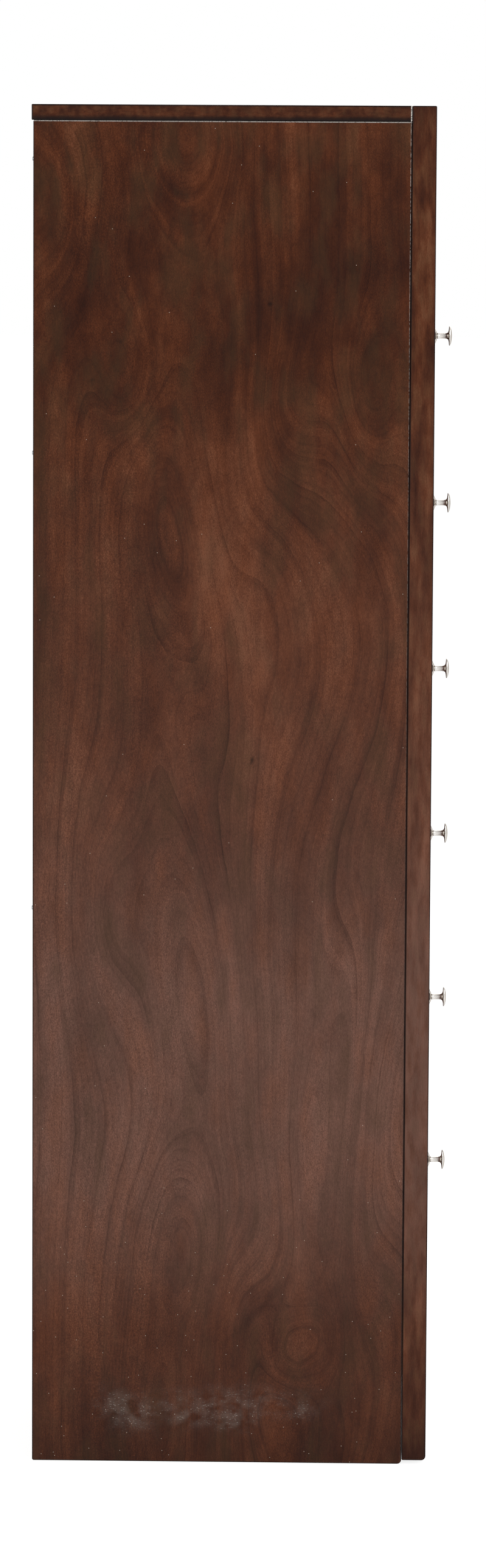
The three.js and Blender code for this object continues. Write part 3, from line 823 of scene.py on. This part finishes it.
# %% Stiles, rails and apron
case_front = panel_low.y
stile_lift = [
    (0.0, 0.38), (0.08, 0.7), (0.24, 0.61), (0.4, 0.78), (0.56, 0.65), (0.72, 0.57),
    (0.89, 0.7), (0.95, 0.74), (1.0, 0.46),
]
for stile in ("left_stile", "right_stile"):
    stained_solid(stile, "Z", lift=stile_lift, arris_width=1.6)
rails = [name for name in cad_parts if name.startswith("drawer_frame_")]
for rail in ("top_rail", "apron", *rails):
    stained_solid(rail, "X", bare_behind=case_front, arris_width=0.8)

# %% [markdown]
# A drawer front is stained on its face and edges and bare on the side that looks into the
# drawer. The top panel has a band of painted shade just above the joint with the panels,
# and a pale line of dust and painted highlight fills the joint between its front edge and
# the stiles.

# %% Drawer fronts and top
front_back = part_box("drawer_1_front")[1].y
for number in range(1, 8):
    stained_solid(f"drawer_{number}_front", "X", bare_behind=front_back)
stained_solid("top_panel", "X", lift=0.6, arris_width=2.4, end_shade=0.1, top_joint_shade_dust_and_highlight=True)

# %% [markdown]
# The box behind each front is pale wood under clear lacquer, and the dovetails show end
# grain, which drinks more lacquer and looks darker. The bottoms are thin birch plywood.

# %% Drawer boxes
def clear_wood(name, along, stops, roughness):
    """Pale wood under clear lacquer, darker on its end grain."""
    material, shader, add = new_finish(name, Roughness=roughness, Specular_IOR_Level=0.4)
    place = grain_place(add, along)
    broad = streaks(add, place, 16 * MM, 260 * MM, 3.0)
    fibres = streaks(add, place, fibre_width, 40 * MM, 3.0)
    tone = blend_tone(add, 0.5, [(broad, 1.0), (fibres, 0.4)])
    end_share = add("Math", {0: end_grain(add, along), 1: 0.55}, operation="MULTIPLY")
    pale = add("ValToRGB", {"Fac": tone}, stops=stops)
    colour = paint_over(add, pale, [(end_share, linear("#8a6338"))])
    relief = add("Bump", {"Height": fibres, "Strength": 0.2, "Distance": fibre_depth})
    feed(shader, Base_Color=colour, Normal=relief)
    return material


box_stops = [(0.1, "#a17c4b"), (0.4, "#bf9a66"), (0.6, "#caa877"), (0.9, "#dcc095")]
ply_stops = [(0.1, "#b08d5d"), (0.5, "#cdaf80"), (0.9, "#dec59b")]
box_sides = [f"drawer_{n}_{hand}_side" for n in range(1, 8) for hand in ("left", "right")]
dress(clear_wood("lacquered_box_side", "Y", box_stops, 0.45), *box_sides)
box_backs = [f"drawer_{n}_back" for n in range(1, 8)]
dress(clear_wood("lacquered_box_back", "X", box_stops, 0.45), *box_backs)
box_bottoms = [f"drawer_{n}_bottom" for n in range(1, 8)]
dress(clear_wood("birch_ply_bottom", "X", ply_stops, 0.5), *box_bottoms)

# %% [markdown]
# The rails and cleats inside the case are bare, and the back is thin plywood, stained but
# not polished, so it is flat and dull.

# %% Inside rails and back
def bare_wood(name, along):
    """Planed, unfinished poplar."""
    material, shader, add = new_finish(name, Roughness=0.75, Specular_IOR_Level=0.3)
    feed(shader, Base_Color=bare_colour(add, grain_place(add, along)))
    return material


dress(bare_wood("planed_cleat", "Y"), "left_top_cleat", "right_top_cleat")
dress(bare_wood("planed_rail", "X"), "rear_top_rail", "rear_base_rail")
back_stops = [(0.1, "#4a3022"), (0.5, "#664632"), (0.9, "#7d5a42")]
dress(clear_wood("stained_ply_back", "Z", back_stops, 0.65), "back_panel")

# %% [markdown]
# Turned pieces, such as knobs and screw heads, are made on a lathe, so half an outline is
# spun round the axis here. Each outline is a list of radius and distance in millimetres.

# %% Turning on the lathe
spin_steps = 72


def spun(outline, centre, outwards, steps):
    """Spin an outline of radius and distance round the Y axis through a centre."""
    mesh = bmesh.new()
    points = [
        mesh.verts.new(centre + Vector((radius * MM, outwards * distance * MM, 0)))
        for radius, distance in outline
    ]
    edges = [mesh.edges.new(pair) for pair in zip(points, points[1:])]
    bmesh.ops.spin(
        mesh, geom=[*points, *edges], cent=centre, axis=(0, 1, 0), angle=2 * math.pi,
        steps=steps, use_merge=True, use_duplicate=False,
    )
    bmesh.ops.remove_doubles(mesh, verts=mesh.verts, dist=0.005 * MM)
    return mesh


def finished(name, mesh, material, smooth_angle, body):
    """Turn a bmesh into an object at the origin that rides on a body."""
    bmesh.ops.recalc_face_normals(mesh, faces=mesh.faces)
    data = bpy.data.meshes.new(name)
    mesh.to_mesh(data)
    mesh.free()
    data.materials.append(material)
    data.shade_smooth()
    data.set_sharp_from_angle(angle=math.radians(smooth_angle))
    piece = bpy.data.objects.new(name, data)
    bpy.context.scene.collection.objects.link(piece)
    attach(piece, body)
    return piece


# %% [markdown]
# The knobs are small mushroom pulls in polished nickel: a thin domed disc, a neck that
# flares into it, and a round foot with a groove above it. The colour is a warm grey
# mirror, a little hazy from handling, and its glancing reflections stay grey.

# %% Knobs
knob_outline = [
    (0, 22.5), (2.5, 22.42), (5, 22.15), (7.4, 21.68), (9.4, 21.05), (10.8, 20.4), (11.5, 19.95),
    (11.7, 19.6), (11.6, 19.3), (11.2, 19.0), (9.6, 18.75), (7.6, 18.55), (6.0, 18.3),
    (5.0, 18.0), (4.3, 17.6), (3.8, 17.05), (3.5, 16.4), (3.35, 15.5), (3.25, 14), (3.2, 9),
    (3.25, 7), (3.45, 5.8), (3.4, 5.35), (3.1, 5.0), (3.5, 4.75), (4.4, 4.55), (5.4, 4.2),
    (6.8, 3.6), (8.6, 2.85), (10.0, 2.0), (10.8, 1.2), (11.0, 0.5), (11.0, 0), (0, 0),
]
smudges_per_metre = 420  # each about 2.4 mm across
nickel, nickel_shader, add = new_finish(
    "polished_nickel", Metallic=1.0, Specular_Tint=linear("#c4bdb6"),
)
haze = add("TexNoise", {
    "Vector": add("TexCoord", out=3), "Scale": smudges_per_metre, "Detail": 3.0,
})
feed(
    nickel_shader,
    Base_Color=add("ValToRGB", {"Fac": haze}, stops=[(0.2, "#dcd8d3"), (0.8, "#e6e3de")]),
    Roughness=add("MapRange", {"Value": haze, "To Min": 0.12, "To Max": 0.2}),
)

knobbed_drawers = range(2, 8)
knob_roots = {}
for number in knobbed_drawers:
    low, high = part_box(f"drawer_{number}_knob")
    root = Vector(((low.x + high.x) / 2, low.y + knob_outline[0][1] * MM, (low.z + high.z) / 2))
    turned = spun(knob_outline, root, -1, spin_steps)
    piece = finished(f"knob_{number}", turned, nickel, 35, f"drawer_{number}")
    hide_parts(f"drawer_{number}_knob")
    knob_roots[number] = root
print("knobs on drawers", list(knobbed_drawers), "with", spin_steps, "facets round")

# %% [markdown]
# Each knob is held by a machine screw from inside the drawer, and small screws hold the
# back panel. A pan head is turned, its flat top is cut along the arms of a cross, and the
# faces of the cross are pushed in. The steel is plated with zinc, dull and bluish grey.

# %% Screws
screw_outline = [(0.4, 0), (1, 0), (0.98, 0.4), (0.85, 0.62), (0.62, 0.7)]
cross_half_width, cross_reach, cross_depth = 0.11, 0.5, 0.45  # shares of the radius
zinc_spots_per_metre = 900  # each about 1.1 mm across, coarser than real ones, to show
zinc, zinc_shader, add = new_finish("zinc_plated_steel", Metallic=1.0)
mottle = add("TexNoise", {
    "Vector": add("TexCoord", out=3), "Scale": zinc_spots_per_metre, "Detail": 3.0,
})
feed(
    zinc_shader,
    Base_Color=add("ValToRGB", {"Fac": mottle}, stops=[(0.25, "#8c8f92"), (0.75, "#b1b4b6")]),
    Roughness=add("MapRange", {"Value": mottle, "To Min": 0.25, "To Max": 0.42}),
)


def pan_head(name, centre, radius, body):
    """A pan head with a cross recess, looking backwards from its centre."""
    shares = [(share * radius, height * radius) for share, height in screw_outline]
    mesh = spun(shares, centre, 1, 32)
    bmesh.ops.holes_fill(mesh, edges=[edge for edge in mesh.edges if edge.is_boundary])
    top = centre.y + screw_outline[-1][1] * radius * MM
    arm_half, arm_reach = cross_half_width * radius * MM, cross_reach * radius * MM

    def on_top():
        """The faces of the flat top."""
        places = [(face, face.calc_center_median().y) for face in mesh.faces]
        return [face for face, place in places if abs(place - top) < 0.01 * MM]

    for axis in (Vector((1, 0, 0)), Vector((0, 0, 1))):
        for offset in (-arm_reach, -arm_half, arm_half, arm_reach):
            faces = on_top()
            rim = {edge for face in faces for edge in face.edges}
            corners = {vert for face in faces for vert in face.verts}
            bmesh.ops.bisect_plane(
                mesh, geom=[*faces, *rim, *corners],
                plane_co=centre + axis * offset, plane_no=axis,
            )
    crossed = []
    for face in on_top():
        away = face.calc_center_median() - centre
        near, far = sorted((abs(away.x), abs(away.z)))
        if near < arm_half and far < arm_reach:
            crossed.append(face)
    pushed = bmesh.ops.extrude_face_region(mesh, geom=crossed)["geom"]
    bmesh.ops.delete(mesh, geom=crossed, context="FACES_ONLY")
    sunk = [vert for vert in pushed if isinstance(vert, bmesh.types.BMVert)]
    bmesh.ops.translate(mesh, verts=sunk, vec=(0, -cross_depth * radius * MM, 0))
    return finished(name, mesh, zinc, 30, body)


knob_screw_radius, back_screw_radius = 3.5, 2.6
for number, root in knob_roots.items():
    inside = Vector((root.x, front_back, root.z))
    pan_head(
        f"knob_screw_{number}", inside, knob_screw_radius, f"drawer_{number}"
    )

# %% [markdown]
# The screws of the back panel stand in its two long edges, at the heights where their
# heads show past the back edge of the side panel, and along its top and bottom.

# %% Screws of the back panel
back_low, back_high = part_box("back_panel")
from_edge = 5 * MM
side_heights = (1513 * MM, 1177 * MM, 650 * MM)
end_places = (-120 * MM, 0, 120 * MM)
heads = [
    (x, z) for x in (back_low.x + from_edge, back_high.x - from_edge) for z in side_heights
]
heads += [
    (x, z) for x in end_places for z in (back_high.z - from_edge, back_low.z + from_edge)
]
for place, (x, z) in enumerate(heads, start=1):
    centre = Vector((x, back_high.y, z))
    pan_head(f"back_screw_{place}", centre, back_screw_radius, "case")
print(len(knob_roots), "knob screws and", len(heads), "back screws")
